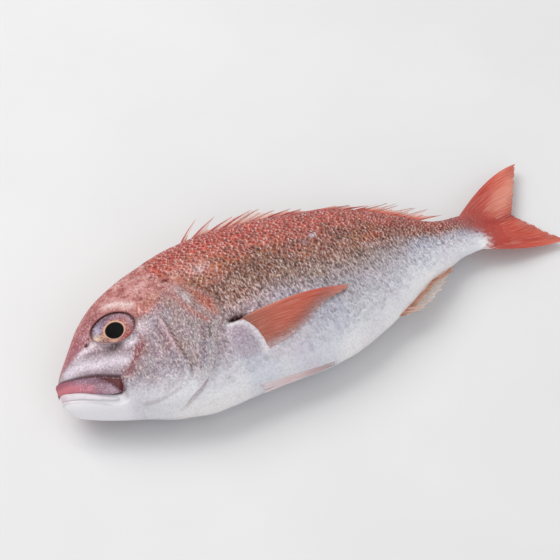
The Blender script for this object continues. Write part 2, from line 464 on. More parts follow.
def giveCoat(piece, paint, speckle, streaky, silver):
    # the skin's own colour, the dark and the light of its specks, and how strong its specks and streaks are
    red = np.clip(1.6 * (paint[:, 0] - paint[:, 1]) / (paint[:, 0] + 1e-6), 0, 1)[:, None]
    givePaint(piece, paint)
    givePaint(piece, paint * mix(np.array([0.5, 0.44, 0.5]), np.array([0.42, 0.24, 0.24]), red), "deep")
    givePaint(piece, mix(paint, mix(np.array([1.0, 0.97, 1.0]), np.array([0.94, 0.66, 0.6]), red), 0.6), "fleck")
    for name, values in (("speckle", speckle), ("streaky", streaky), ("silver", silver)):
        giveValue(piece, name, np.broadcast_to(values, len(paint)))


# Mesh helpers
def wrapGrid(name, cols, rows, placeAt, merge=False):
    # a flat square grid, added from 0 to 1 each way, whose points are then moved to their places on the fish
    bpy.ops.object.select_all(action="DESELECT")
    bpy.ops.mesh.primitive_grid_add(x_subdivisions=cols, y_subdivisions=rows, size=1, location=(0.5, 0.5, 0))
    bpy.ops.object.transform_apply(location=True)
    piece = bpy.context.object
    piece.name = name
    piece.data.name = name
    flat = vertexArray(piece)
    u, v = flat[:, 0].astype(float), flat[:, 1].astype(float)
    places = placeAt(u, v)
    setVertices(piece, layDown(places))
    if merge:
        bpy.ops.object.mode_set(mode="EDIT")
        bpy.ops.mesh.select_all(action="SELECT")
        bpy.ops.mesh.remove_doubles(threshold=2e-6)
        bpy.ops.mesh.normals_make_consistent(inside=False)
        bpy.ops.object.mode_set(mode="OBJECT")
    return piece


def vertexArray(piece):
    flat = np.empty(len(piece.data.vertices) * 3, np.float32)
    piece.data.vertices.foreach_get("co", flat)
    return flat.reshape(-1, 3)


def setVertices(piece, places):
    piece.data.vertices.foreach_set("co", np.asarray(places, np.float32).ravel())
    piece.data.update()


def sideView(piece):
    # x and y in millimetres on the straight fish, of each vertex
    places = vertexArray(piece) * 1000
    laidX, laidY = places[:, 0] + fish["snoutX"], places[:, 1] + fish["middleY"]
    x = laidX
    for turn in range(4):
        sink = tailSink(x)
        x = laidX - fish["sinkShift"][0] * sink
    return x, laidY - fish["sinkShift"][1] * sink


def givePaint(piece, colours, name="paint"):
    layer = piece.data.color_attributes.new(name, "FLOAT_COLOR", "POINT")
    rgba = np.concatenate([np.clip(colours, 0, 1), np.ones((len(colours), 1))], 1)
    layer.data.foreach_set("color", rgba.astype(np.float32).ravel())


def giveValue(piece, name, values):
    layer = piece.data.attributes.new(name, "FLOAT", "POINT")
    layer.data.foreach_set("value", np.asarray(values, np.float32))


def applyModifier(piece, kind, **settings):
    bpy.ops.object.select_all(action="DESELECT")
    piece.select_set(True)
    bpy.context.view_layer.objects.active = piece
    modifier = piece.modifiers.new(kind.title(), kind)
    for key, value in settings.items():
        setattr(modifier, key, value)
    bpy.ops.object.modifier_apply(modifier=modifier.name)


def finishPiece(piece, material, node="fish", smoothAngle=50):
    piece.data.materials.clear()
    piece.data.materials.append(material)
    bpy.ops.object.select_all(action="DESELECT")
    piece.select_set(True)
    bpy.context.view_layer.objects.active = piece
    bpy.ops.object.shade_smooth_by_angle(angle=math.radians(smoothAngle))
    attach(piece, "root")
    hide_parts(node)
    return piece


# Material helpers
class Nodes:
    # a short hand for the nodes of one material
    def __init__(self, name):
        self.material = bpy.data.materials.new(name)
        self.material.use_nodes = True
        self.tree = self.material.node_tree
        self.shader = self.tree.nodes["Principled BSDF"]

    def add(self, kind, **settings):
        node = self.tree.nodes.new(kind)
        for key, value in settings.items():
            setattr(node, key, value)
        return node

    def link(self, source, target):
        self.tree.links.new(source, target)

    def set(self, **values):
        for key, value in values.items():
            self.shader.inputs[key.replace("_", " ")].default_value = value

    def noise(self, scale, detail=3.0, rough=0.55, vector=None):
        node = self.add("ShaderNodeTexNoise")
        node.inputs["Scale"].default_value = scale
        node.inputs["Detail"].default_value = detail
        node.inputs["Roughness"].default_value = rough
        self.link(vector or self.objectPlace(), node.inputs["Vector"])
        return node.outputs["Fac"]

    def objectPlace(self):
        return self.add("ShaderNodeTexCoord").outputs["Object"]

    def uv(self):
        return self.add("ShaderNodeTexCoord").outputs["UV"]

    def attribute(self, name, output="Color"):
        return self.add("ShaderNodeAttribute", attribute_name=name).outputs[output]

    def range(self, value, low, high, toLow, toHigh):
        node = self.add("ShaderNodeMapRange")
        for key, number in zip(("From Min", "From Max", "To Min", "To Max"), (low, high, toLow, toHigh)):
            node.inputs[key].default_value = number
        self.link(value, node.inputs["Value"])
        return node.outputs["Result"]

    def mathOf(self, operation, a, b=None):
        node = self.add("ShaderNodeMath", operation=operation)
        for socket, value in zip(node.inputs, (a, b)):
            if isinstance(value, (int, float)):
                socket.default_value = value
            elif value is not None:
                self.link(value, socket)
        return node.outputs[0]

    def mixColour(self, share, a, b, blend="MIX"):
        node = self.add("ShaderNodeMix", data_type="RGBA", blend_type=blend)
        for name, value in (("Factor_Float", share), ("A_Color", a), ("B_Color", b)):
            socket = next(s for s in node.inputs if s.identifier == name)
            if isinstance(value, (int, float)):
                socket.default_value = value
            elif isinstance(value, tuple):
                socket.default_value = (*lin(value), 1)
            else:
                self.link(value, socket)
        return next(s for s in node.outputs if s.identifier == "Result_Color")

    def bump(self, height, strength, distance, onto=None):
        node = self.add("ShaderNodeBump")
        node.inputs["Strength"].default_value = strength
        node.inputs["Distance"].default_value = distance
        self.link(height, node.inputs["Height"])
        if onto is not None:
            self.link(onto, node.inputs["Normal"])
        return node.outputs["Normal"]


def stretched(n, across, along):
    # object place, drawn out along the fish's height, as its streaks are
    node = n.add("ShaderNodeMapping")
    node.inputs["Scale"].default_value = (across, along, along)
    n.link(n.objectPlace(), node.inputs["Vector"])
    return node.outputs[0]


def skinMaterial():
    # one wet skin for the bare head and the scales: grain, streaks along the fish's height and small glints
    n = Nodes("fishSkin")
    amount, streaky = n.attribute("speckle", "Fac"), n.attribute("streaky", "Fac")
    deep, fleck = n.attribute("deep"), n.attribute("fleck")
    grain = n.noise(720, 3, 0.65)
    patches = n.noise(240, 3, 0.6)
    streaks = n.noise(1, 1, 0.5, stretched(n, 820, 170))
    gleams = n.noise(1, 1, 0.5, stretched(n, 1120, 320))
    glints = n.noise(1, 2, 0.6, stretched(n, 900, 420))
    dark = n.mathOf("MULTIPLY", n.range(grain, 0.47, 0.62, 0, 0.95), amount)
    shaded = n.mixColour(dark, n.attribute("paint"), deep)
    clouded = n.mixColour(n.mathOf("MULTIPLY", n.range(patches, 0.52, 0.7, 0, 0.45), amount), shaded, deep)
    streaked = n.mixColour(n.mathOf("MULTIPLY", n.range(streaks, 0.5, 0.62, 0, 0.9), streaky), clouded, deep)
    pale = n.mathOf("MAXIMUM", n.mathOf("MULTIPLY", n.range(glints, 0.5, 0.68, 0, 0.8), amount),
                    n.mathOf("MULTIPLY", n.range(gleams, 0.53, 0.68, 0, 0.8), streaky))
    n.link(n.mixColour(pale, streaked, fleck), n.shader.inputs["Base Color"])
    n.link(n.attribute("silver", "Fac"), n.shader.inputs["Metallic"])
    n.link(n.range(n.noise(700, 2), 0.3, 0.7, 0.3, 0.52), n.shader.inputs["Roughness"])
    n.set(Specular_IOR_Level=0.2, Coat_Weight=0.05, Coat_Roughness=0.15)
    n.link(n.bump(glints, 0.3, 0.0004, n.bump(grain, 0.3, 0.0004)), n.shader.inputs["Normal"])
    return n.material


def finMaterial(name, rays, lineColour, lineShare, clear, roughness=0.38):
    # rays are fine lines along the fin, which split toward its edge
    n = Nodes(name)
    uv = n.uv()
    parts = n.add("ShaderNodeSeparateXYZ")
    n.link(uv, parts.inputs[0])
    across, along = parts.outputs[0], parts.outputs[1]
    warp = n.mathOf("ADD", across, n.mathOf("MULTIPLY", n.noise(30, 2, 0.5, uv), 0.012))

    def lines(count):
        wave = n.mathOf("COSINE", n.mathOf("MULTIPLY", warp, count * 2 * math.pi))
        return n.range(wave, 0.25, 1, 0, 1)
    split = n.range(along, 0.3, 0.75, 0, 1)
    single, double = lines(rays), lines(rays * 2)
    both = n.mathOf("ADD", n.mathOf("MULTIPLY", single, n.mathOf("SUBTRACT", 1.0, split)), n.mathOf("MULTIPLY", double, split))
    streak = n.mathOf("MULTIPLY", both, n.range(n.noise(60, 3, 0.6, uv), 0.3, 0.7, 0.5, 1.1))
    paint = n.attribute("paint")
    alongRays = n.add("ShaderNodeMapping")
    alongRays.inputs["Scale"].default_value = (rays * 2.6, 3.5, 1)
    n.link(uv, alongRays.inputs["Vector"])
    threads = n.noise(1, 3, 0.6, alongRays.outputs[0])
    shaded = n.mixColour(n.range(threads, 0.5, 0.35, 0, 0.35), paint, n.mixColour(1.0, paint, (214, 170, 164), "MULTIPLY"))
    mottled = n.mixColour(n.range(threads, 0.5, 0.68, 0, 0.35), shaded, (240, 190, 172))
    lined = n.mixColour(n.mathOf("MULTIPLY", streak, lineShare), mottled, lineColour)
    n.link(lined, n.shader.inputs["Base Color"])
    n.set(Roughness=roughness, Specular_IOR_Level=0.3, Coat_Weight=0.08, Coat_Roughness=0.2)
    n.link(n.bump(streak, 0.5, 0.0003), n.shader.inputs["Normal"])
    clearness = n.mathOf("SUBTRACT", 1.0, n.mathOf("MULTIPLY", n.attribute("clear", "Fac"), clear))
    solid = n.mathOf("ADD", clearness, n.mathOf("MULTIPLY", n.mathOf("MULTIPLY", streak, n.attribute("clear", "Fac")), clear * 0.6))
    n.link(solid, n.shader.inputs["Alpha"])
    return n.material


# Camera, as in the photograph
view = {"turn": -24.703, "height": 57, "distance": 1.0, "target": (163.62, 18.33, 20), "lens": 96.115}


def addCamera():
    a, e = math.radians(view["turn"]), math.radians(view["height"])
    target = Vector(((view["target"][0] - fish["snoutX"]) / 1000, (view["target"][1] - fish["middleY"]) / 1000,
                     view["target"][2] / 1000))
    back = Vector((math.sin(a) * math.cos(e), -math.cos(a) * math.cos(e), math.sin(e)))
    bpy.ops.object.camera_add(location=target + back * view["distance"])
    camera = bpy.context.object
    camera.rotation_euler = back.to_track_quat("Z", "Y").to_euler()
    camera.data.lens = view["lens"]
    camera.data.sensor_width = 36
    camera.data.clip_start = 0.01
    scene.camera = camera


light = {"world": 0.57, "key": 26.5, "keyPlace": (-0.8, 1.1, 1.7), "keySize": 1.5,
         "fill": 6.5, "fillPlace": (0.2, -1.5, 0.5), "fillSize": 1.6, "glint": 1.2, "glintPlace": (0.1, 0.5, 1.4)}


def addLight(name, place, size, watts, colour=(1, 1, 1)):
    bpy.ops.object.light_add(type="AREA", location=place)
    lamp = bpy.context.object
    lamp.name = name
    lamp.data.size = size
    lamp.data.energy = watts
    lamp.data.color = colour
    lamp.rotation_euler = Vector(place).to_track_quat("Z", "Y").to_euler()


def addStudio():
    world = bpy.data.worlds.new("studio")
    world.use_nodes = True
    world.node_tree.nodes["Background"].inputs["Color"].default_value = (1.0, 1.0, 1.0, 1)
    world.node_tree.nodes["Background"].inputs["Strength"].default_value = light["world"]
    scene.world = world
    scene.view_settings.view_transform = "Standard"
    addLight("keyLight", light["keyPlace"], light["keySize"], light["key"], (1.0, 0.985, 0.96))
    addLight("fillLight", light["fillPlace"], light["fillSize"], light["fill"], (0.97, 0.985, 1.0))
    addLight("glintLight", light["glintPlace"], 0.35, light["glint"])
    bpy.ops.mesh.primitive_plane_add(size=6, location=(0, 0, -0.0002))
    floor = bpy.context.object
    floor.name = "floor"
    n = Nodes("paleFloor")
    n.link(n.mixColour(n.range(n.noise(6, 4), 0.4, 0.6, 0, 1), (227, 227, 229), (230, 230, 231)), n.shader.inputs["Base Color"])
    n.set(Roughness=0.55, Specular_IOR_Level=0.3)
    floor.data.materials.append(n.material)


# Skin
skinMesh = {"along": 300, "around": 300, "headShare": 0.52}


def addSkin(coat):
    def place(u, v):
        turn = -math.pi / 2 + 2 * math.pi * v
        edge = gillEdge(np.degrees(np.arcsin(np.clip(np.sin(turn), -1, 1))))
        front = np.minimum(u / skinMesh["headShare"], 1)
        rear = (u - skinMesh["headShare"]) / (1 - skinMesh["headShare"])
        x = np.where(rear <= 0, mix(-2.2, edge, front ** 1.12), mix(edge + 0.02, 322, rear))
        places, out = skinAt(x, turn)
        ends = (u < 1e-6) | (u > 1 - 1e-6)
        places[ends, 2] = 0
        return places
    skin = wrapGrid("skin", skinMesh["along"], skinMesh["around"], place, merge=True)
    x, y = sideView(skin)
    rise = riseAt(x, y)
    onTrunk = ease(100, 112, x)
    streaky = mix(0.35 * ease(-0.6, -0.2, rise) * ease(52, 62, x), 0.5 * ease(-0.6, 0, rise), onTrunk) * (1 - ease(280, 300, x))
    giveCoat(skin, paintBody(x, y), speckleAmount(x, y), streaky, 0.08)
    return finishPiece(skin, coat, smoothAngle=60)


# Scales: modelled once, then laid in staggered columns from the gill cover to the tail
scaleLook = {"pitch": 3.9, "tailPitch": 2.4, "length": 1.3, "width": 1.12, "tilt": 0.1, "thickness": 0.13, "sides": 8,
             "scatter": 0.19, "roll": 0.09, "lastX": 312}


def modelScale():
    # one scale of unit size: a low dome with a thin rim, tipped up at its rear edge
    bpy.ops.object.select_all(action="DESELECT")
    bpy.ops.mesh.primitive_circle_add(vertices=scaleLook["sides"], radius=0.5, fill_type="NGON")
    bpy.ops.object.mode_set(mode="EDIT")
    bpy.ops.mesh.select_all(action="SELECT")
    bpy.ops.mesh.extrude_region_move(TRANSFORM_OT_translate={"value": (0, 0, scaleLook["thickness"])})
    bpy.ops.mesh.inset(thickness=0.17, depth=0.05)
    bpy.ops.mesh.poke()
    bpy.ops.object.mode_set(mode="OBJECT")
    scale = bpy.context.object
    scale.name = "oneScale"
    places = vertexArray(scale).astype(float)
    faces = [tuple(f.vertices) for f in scale.data.polygons]
    bpy.data.objects.remove(scale)
    return places, faces


def scaleSeats(side):
    # place, turn and size of every scale on one flank
    seats = []
    x = 76.0
    column = 0
    while x < scaleLook["lastX"]:
        pitch = mix(scaleLook["pitch"], scaleLook["tailPitch"], float(ease(170, 300, x)))
        turns = np.linspace(-math.pi / 2, math.pi / 2, 241)
        ring, out = skinAt(np.full(turns.shape, x), turns)
        lengths = np.concatenate([[0], np.cumsum(np.hypot(np.diff(ring[:, 1]), np.diff(ring[:, 2])))])
        middle = np.interp(0, turns, lengths)
        steps = np.arange(math.ceil(-middle / pitch), int((lengths[-1] - middle) / pitch) + 1) + 0.5 * (column % 2)
        at = middle + steps * pitch
        at = at[(at > 0.4 * pitch) & (at < lengths[-1] - 0.4 * pitch)]
        at = at + dice.normal(0, scaleLook["scatter"], len(at)) * pitch
        seats.append(np.stack([np.full(len(at), x), np.interp(at, lengths, turns), np.full(len(at), pitch)], -1))
        x += pitch * 0.5
        column += 1
    seats = np.concatenate(seats)
    turn, pitch = seats[:, 1], seats[:, 2]
    x = seats[:, 0] + dice.normal(0, scaleLook["scatter"], len(seats)) * pitch
    y = skinAt(x, turn)[0][:, 1]
    rise = riseAt(x, y)
    past = x - gillEdge(np.degrees(turn))
    luck = dice.uniform(0, 1, len(x))
    nape = (rise > 0.6) & (x > 80 + 10 * luck)
    trunk = (past > 1.5) | nape
    bare = (ovalShare(x, y, head["finRoot"], 2.5) < 1.1) | (ovalShare(x, y, (121, -13.6, 11, 3.4)) < 1)
    bare |= (x > 124) & (x < 131) & (y > -41) & (y < -13)
    bare |= np.abs(nearLine(x, y, ((86.8, 39), (93.2, 33.4)))) < 3.2
    turn = turn if side > 0 else math.pi - turn
    height = skinAt(x, turn)[0][:, 2] + fish["restHeight"] - fish["tailDroop"] * droopLine(x / fish["length"])
    kept = trunk & ~bare & (height > 0.9) & (luck > ease(294, scaleLook["lastX"], x)) & (rise > -0.86 + 0.16 * luck)
    small = 1 - 0.35 * ease(290, 312, x) - 0.3 * (1 - ease(90, 104, x)) * (past < 0)
    return x[kept], turn[kept], pitch[kept], small[kept], y[kept], rise[kept]


def scalePaint(x, y, rise, shape, small):
    # the body's own colour, with a dark middle and a pale rim on each scale, and lighter and darker scales at random
    base = paintBody(x, y)
    tone = dice.normal(0, 1, len(x))
    spark = dice.uniform(0, 1, len(x)) ** 2
    red = np.clip(1.6 * (base[:, 0] - base[:, 1]) / base[:, 0], 0, 1)[:, None]
    calm = 1 - 0.6 * ease(282, 300, x)
    dark = calm * np.interp(rise, [-1, -0.7, -0.3, 0.05, 0.35, 0.9, 1], [0.05, 0.2, 0.44, 0.6, 1, 1, 0.8])
    light = calm * np.interp(rise, [-1, -0.7, -0.3, 0.05, 0.35, 1], [0.15, 0.5, 0.78, 0.6, 0.95, 1])
    vary = calm * np.interp(rise, [-1, -0.7, -0.3, 0.05, 0.35, 1], [0.03, 0.07, 0.13, 0.2, 0.22, 0.2])
    base = base * np.exp(vary * tone)[:, None]
    deep = base * mix(np.array([0.46, 0.42, 0.46]), np.array([0.38, 0.1, 0.1]), red)
    pale = mix(base, mix(np.array([0.98, 0.97, 1.0]), np.array([1.0, 0.72, 0.66]), red), 0.94)
    reach = np.hypot(shape[:, 0] - 0.08, 0.9 * shape[:, 1])
    core = ease(0.44, 0.16, reach)
    rim = ease(0.2, 0.5, shape[:, 0])
    paint = mix(base[:, None], deep[:, None], (dark[:, None] * core[None])[..., None])
    paint = mix(paint, pale[:, None], (light[:, None] * rim[None] * mix(0.35, 1.3, spark)[:, None])[..., None])
    return np.clip(paint, 0, 1).reshape(-1, 3)


def addScales(name, side, shape, faces, material):
    x, turn, pitch, small, y, rise = scaleSeats(side)
    count, points = len(x), len(shape)
    origin, out = skinAt(x, turn)
    along = skinAt(x + 0.6, turn)[0] - skinAt(x - 0.6, turn)[0]
    along /= np.linalg.norm(along, axis=1)[:, None]
    across = (skinAt(x, turn + 0.01)[0] - skinAt(x, turn - 0.01)[0]) * side
    across -= along * np.sum(across * along, 1)[:, None]
    across /= np.linalg.norm(across, axis=1)[:, None] + 1e-9
    up = np.cross(along, across)
    up *= np.sign(np.sum(up * out, 1))[:, None]
    tilt = (scaleLook["tilt"] + dice.normal(0, 0.03, count)) * small ** 2 * np.interp(rise, [-1, -0.4, 0.3], [0.5, 0.75, 1])
    roll = dice.normal(0, scaleLook["roll"], count) * small
    grow = pitch * dice.normal(1, 0.05, count) * mix(0.75, 1, small)
    a = shape[None, :, 0] * scaleLook["length"] * grow[:, None]
    b = shape[None, :, 1] * scaleLook["width"] * grow[:, None]
    h = shape[None, :, 2] * grow[:, None] * 0.6 * small[:, None] ** 2
    h = h + a * tilt[:, None] + b * roll[:, None] - 0.1 - 0.035 * b * b
    places = origin[:, None] + a[..., None] * along[:, None] + b[..., None] * across[:, None] + h[..., None] * up[:, None]
    mesh = bpy.data.meshes.new(name)
    sizes = np.array([len(f) for f in faces])
    loops = np.concatenate([np.array(f) for f in faces])
    allLoops = (loops[None] + points * np.arange(count)[:, None]).ravel()
    mesh.vertices.add(count * points)
    mesh.vertices.foreach_set("co", layDown(places).astype(np.float32).ravel())
    mesh.loops.add(len(allLoops))
    mesh.loops.foreach_set("vertex_index", allLoops.astype(np.int32))
    starts = np.concatenate([[0], np.cumsum(np.tile(sizes, count))[:-1]])
    mesh.polygons.add(len(starts))
    mesh.polygons.foreach_set("loop_start", starts.astype(np.int32))
    mesh.update(calc_edges=True)
    piece = bpy.data.objects.new(name, mesh)
    scene.collection.objects.link(piece)
    bpy.ops.object.select_all(action="DESELECT")
    piece.select_set(True)
    bpy.context.view_layer.objects.active = piece
    bpy.ops.object.mode_set(mode="EDIT")
    bpy.ops.mesh.select_all(action="SELECT")
    bpy.ops.mesh.normals_make_consistent(inside=False)
    bpy.ops.object.mode_set(mode="OBJECT")
    spread = mesh.uv_layers.new(name="spread")
    loopVertex = np.empty(len(mesh.loops), np.int32)
    mesh.loops.foreach_get("vertex_index", loopVertex)
    spread.data.foreach_set("uv", (shape[:, :2] + 0.5)[loopVertex % points].astype(np.float32).ravel())
    metal = np.interp(rise, [-1, -0.7, -0.2, 0.2, 1], [0.05, 0.15, 0.25, 0.08, 0.0])
    streaky = np.interp(rise, [-1, -0.7, -0.3, 0.15, 0.45, 1], [0.0, 0.25, 0.7, 1.0, 0.3, 0.05]) * (1 - 0.6 * ease(280, 300, x))
    speckle = np.interp(rise, [-1, -0.7, -0.3, 0.3, 1], [0.1, 0.3, 0.45, 0.3, 0.2]) * (1 - 0.5 * ease(280, 300, x))
    giveCoat(piece, scalePaint(x, y, rise, shape, small), *(np.repeat(v, points) for v in (speckle, streaky, metal)))
    finishPiece(piece, material, smoothAngle=42)
    print("scales on", name, count, "faces", len(faces) * count)


# Lips
lipLook = {"cornerX": 37}


def mouthRun(u, cornerX, levelAt):
    # from the left corner round the snout to the right corner
    side = np.where(u <= 0.5, 1.0, -1.0)
    near = 1 - np.abs(2 * u - 1)
    x = mix(cornerX, -0.9, np.sin(near * math.pi / 2))
    y = levelAt(x)
    z = skinAt(x, turnAt(x, y))[0][:, 2]
    return x, y, z, side, near


def addLip(name, levelAt, cornerX, heightAt, depth, sunk, colourAt):
    def place(u, v):
        x, y, z, side, near = mouthRun(u, cornerX, levelAt)
        ahead = mouthRun(np.clip(u + 0.004, 0, 1), cornerX, levelAt)
        behind = mouthRun(np.clip(u - 0.004, 0, 1), cornerX, levelAt)
        run = np.stack([ahead[0] - behind[0], ahead[1] - behind[1], ahead[2] * ahead[3] - behind[2] * behind[3]], -1)
        run /= np.linalg.norm(run, axis=1)[:, None] + 1e-9
        up = np.array([0, 1.0, 0]) - run * run[:, 1:2]
        up /= np.linalg.norm(up, axis=1)[:, None]
        out = np.cross(up, run)
        out *= np.sign(np.sum(out * np.stack([-np.ones_like(x) * (near > 0.9), 0 * x, side], -1), 1))[:, None]
        turn = 2 * math.pi * v
        half = heightAt(x, near)
        ends = np.sqrt(np.clip(1 - (1 - ease(0, 0.03, near)) ** 2, 0.0, 1))
        centre = np.stack([x, y, z * side], -1) - out * sunk
        ridges = 1 + 0.03 * np.sin(near * 46 + 2 * np.cos(turn))
        boxy = lambda wave, power: np.sign(wave) * np.abs(wave) ** power
        rise, stand = half * ends * boxy(np.cos(turn), 0.8), depth * ends * boxy(np.sin(turn), 0.6) * ridges
        return centre + up * rise[:, None] + out * stand[:, None]
    lip = wrapGrid(name, 150, 30, place, merge=True)
    x, y = sideView(lip)
    givePaint(lip, colourAt(x, y))
    return lip


def addLips():
    n = Nodes("wetLip")
    grain = n.noise(800, 3)
    folds = n.noise(240, 4, 0.6)
    amount = n.attribute("speckle", "Fac")
    darker = n.mixColour(n.mathOf("MULTIPLY", n.range(folds, 0.45, 0.7, 0, 0.6), amount), n.attribute("paint"), (112, 70, 92))
    flecked = n.mixColour(n.mathOf("MULTIPLY", n.range(grain, 0.55, 0.7, 0, 0.5), amount), darker, (226, 208, 222))
    n.link(flecked, n.shader.inputs["Base Color"])
    n.link(n.range(grain, 0.3, 0.7, 0.26, 0.42), n.shader.inputs["Roughness"])
    n.set(Specular_IOR_Level=0.15, Coat_Weight=0.03, Coat_Roughness=0.2)
    n.link(n.bump(folds, 0.3, 0.0006, n.bump(grain, 0.25, 0.0003)), n.shader.inputs["Normal"])

    def upperPaint(x, y):
        level = np.clip((y - slitLine(x)) / (lipLine(x) - slitLine(x)), 0, 1)
        top = shade((0, (160, 92, 106)), (6, (154, 96, 110)), (14, (142, 106, 124)), (24, (118, 82, 96)), (30, (116, 62, 68)))(x)
        bottom = shade((0, (192, 116, 126)), (10, (198, 122, 134)), (17, (188, 118, 132)), (22, (160, 124, 140)),
                       (30, (170, 144, 158)))(x)
        paint = mix(bottom, top, ease(0.35, 0.68, level + 0.07 * cloud(x, y, 2.5, 33))[..., None])
        # the dark red end plate of the lip, bounded by a slanting line
        past = x - 24 - 0.61 * (-10.5 - y)
        paint = tint(paint, ease(-1.0, 0.5, past), (80, 24, 32))
        paint = tint(paint, 0.25 * ease(1, 4, past), (126, 62, 66))
        paint = tint(paint, 0.6 * bump(past, 0, 0.9), (70, 28, 38))
        paint = tint(paint, 0.6 * bump(nearLine(x, y, faceLines["lipEnd"]), -0.6, 1.2), (92, 44, 50))
        return tint(paint, 0.8 * ease(0.82, 0.98, level), (84, 48, 58))

    def lowerPaint(x, y):
        return shade((0, (214, 192, 200)), (2.5, (218, 208, 214)), (7, (220, 215, 221)), (20, (222, 218, 224)), (30, (214, 208, 216)))(x)
    upper = addLip("upperLip", lambda x: mix(slitLine(x), lipLine(x), 0.5), lipLook["cornerX"],
                   lambda x, near: 0.5 * (lipLine(x) - slitLine(x)) + 0.15, 1.7, 0.8, upperPaint)
    lower = addLip("lowerLip", lambda x: slitLine(x) - 2.6, lipLook["cornerX"] - 5,
                   lambda x, near: mix(1.2, 2.5, ease(0, 0.4, near)), 1.1, 0.6, lowerPaint)
    for lip in (upper, lower):
        x, y = sideView(lip)
        giveValue(lip, "speckle", ease(4, 14, x) * (1 - ease(-1, 1, x - 24 - 0.61 * (-10.5 - y))) if lip == upper else x * 0 + 0.15)
        finishPiece(lip, n.material)


# Eyes
eyeLook = {"pupilX": 45.7, "pupilY": 14.3, "pupil": 5.9, "pupilHigh": 6.4, "pupilRing": 0.4, "rim": 1.03}
lidShare = smoothLine((0, 1.2), (0.2, 1.14), (0.45, 1.07), (0.65, 1.02), (0.8, 0.99), (1, 0.965))
lidHeight = smoothLine((0, -0.35), (0.2, 0.1), (0.45, 0.4), (0.65, 0.3), (0.8, -0.15), (1, -1.6))
eyeHeight = smoothLine((0, 0.05), (0.36, 0.1), (0.41, 0.12), (0.47, 0.3), (0.55, 0.05), (0.8, -0.35), (1, -1.1))


def orbitPlace(turn, share):
    reach = orbitReach(np.degrees(turn)) * share
    return orbit["x"] + reach * np.cos(turn), orbit["y"] + reach * np.sin(turn)


def irisMaterial():
    n = Nodes("iris")
    fibres = n.noise(1100, 4, 0.7)
    amount = n.attribute("fibre", "Fac")
    pale = n.mathOf("MULTIPLY", n.range(fibres, 0.5, 0.66, 0, 0.6), amount)
    dark = n.mathOf("MULTIPLY", n.range(n.noise(480, 3, 0.6), 0.48, 0.64, 0, 0.7), amount)
    shaded = n.mixColour(dark, n.attribute("paint"), (96, 60, 74))
    n.link(n.mixColour(pale, shaded, (230, 204, 200)), n.shader.inputs["Base Color"])
    n.set(Roughness=0.25, Specular_IOR_Level=0.04)
    n.link(n.bump(fibres, 0.15, 0.0002), n.shader.inputs["Normal"])
    return n.material


def irisPaint(x, y, ring):
    away = x - eyeLook["pupilX"]
    above = y - eyeLook["pupilY"]
    outer = ease(0.46, 0.54, ring)
    paint = shade((0, (1, 1, 2)), (0.392, (2, 2, 3)), (0.408, (96, 54, 46)), (0.43, (214, 172, 148)), (0.47, (216, 170, 152)),
                  (0.52, (170, 112, 106)), (0.65, (132, 86, 98)), (1, (104, 66, 80)))(ring)
    for px, py, wide, high, strength, colour in (
            (-8, 9, 6, 5, 0.95, (132, 124, 152)), (-10.5, 5.5, 3, 4, 0.9, (182, 178, 204)), (-8.5, -1.5, 4, 3.5, 0.9, (190, 140, 110)),
            (-12.5, 0, 2.6, 3, 0.9, (226, 204, 186)), (-3, -7.5, 4, 2, 0.9, (222, 178, 152)), (-2, 12, 7, 2.4, 0.7, (104, 78, 96)),
            (7.5, 1, 2.4, 6, 0.8, (196, 122, 108)), (11.5, 4, 1.8, 7, 0.8, (192, 156, 168)), (8, 10, 5, 2.4, 0.6, (188, 150, 164)),
            (6, -7, 6, 3.4, 0.95, (166, 72, 62)), (11, -3, 2, 4, 0.7, (150, 84, 84)), (4.5, 11, 3, 1.5, 0.4, (214, 190, 196))):
        paint = tint(paint, strength * outer * bump(away, px, wide) * bump(above, py, high), colour)
    upper = ease(-4, 6, above + 0.3 * away)
    return tint(paint, 0.85 * ease(mix(0.92, 0.84, upper), mix(0.98, 0.94, upper), ring), (78, 40, 44))


def lidPaint(x, y, share):
    face = paintBody(x, y)
    above = ease(-8, 4, (y - orbit["y"]) + 0.3 * (x - orbit["x"]))
    inner = 1 - ease(0.985, 1.03, share)
    paint = tint(face, mix(0.55, 0.8, above) * bump(share, 1.03, 0.035), (104, 62, 62))
    paint = tint(paint, inner * above, (72, 40, 42))
    return tint(paint, inner * (1 - above) * 0.85, (160, 104, 98))


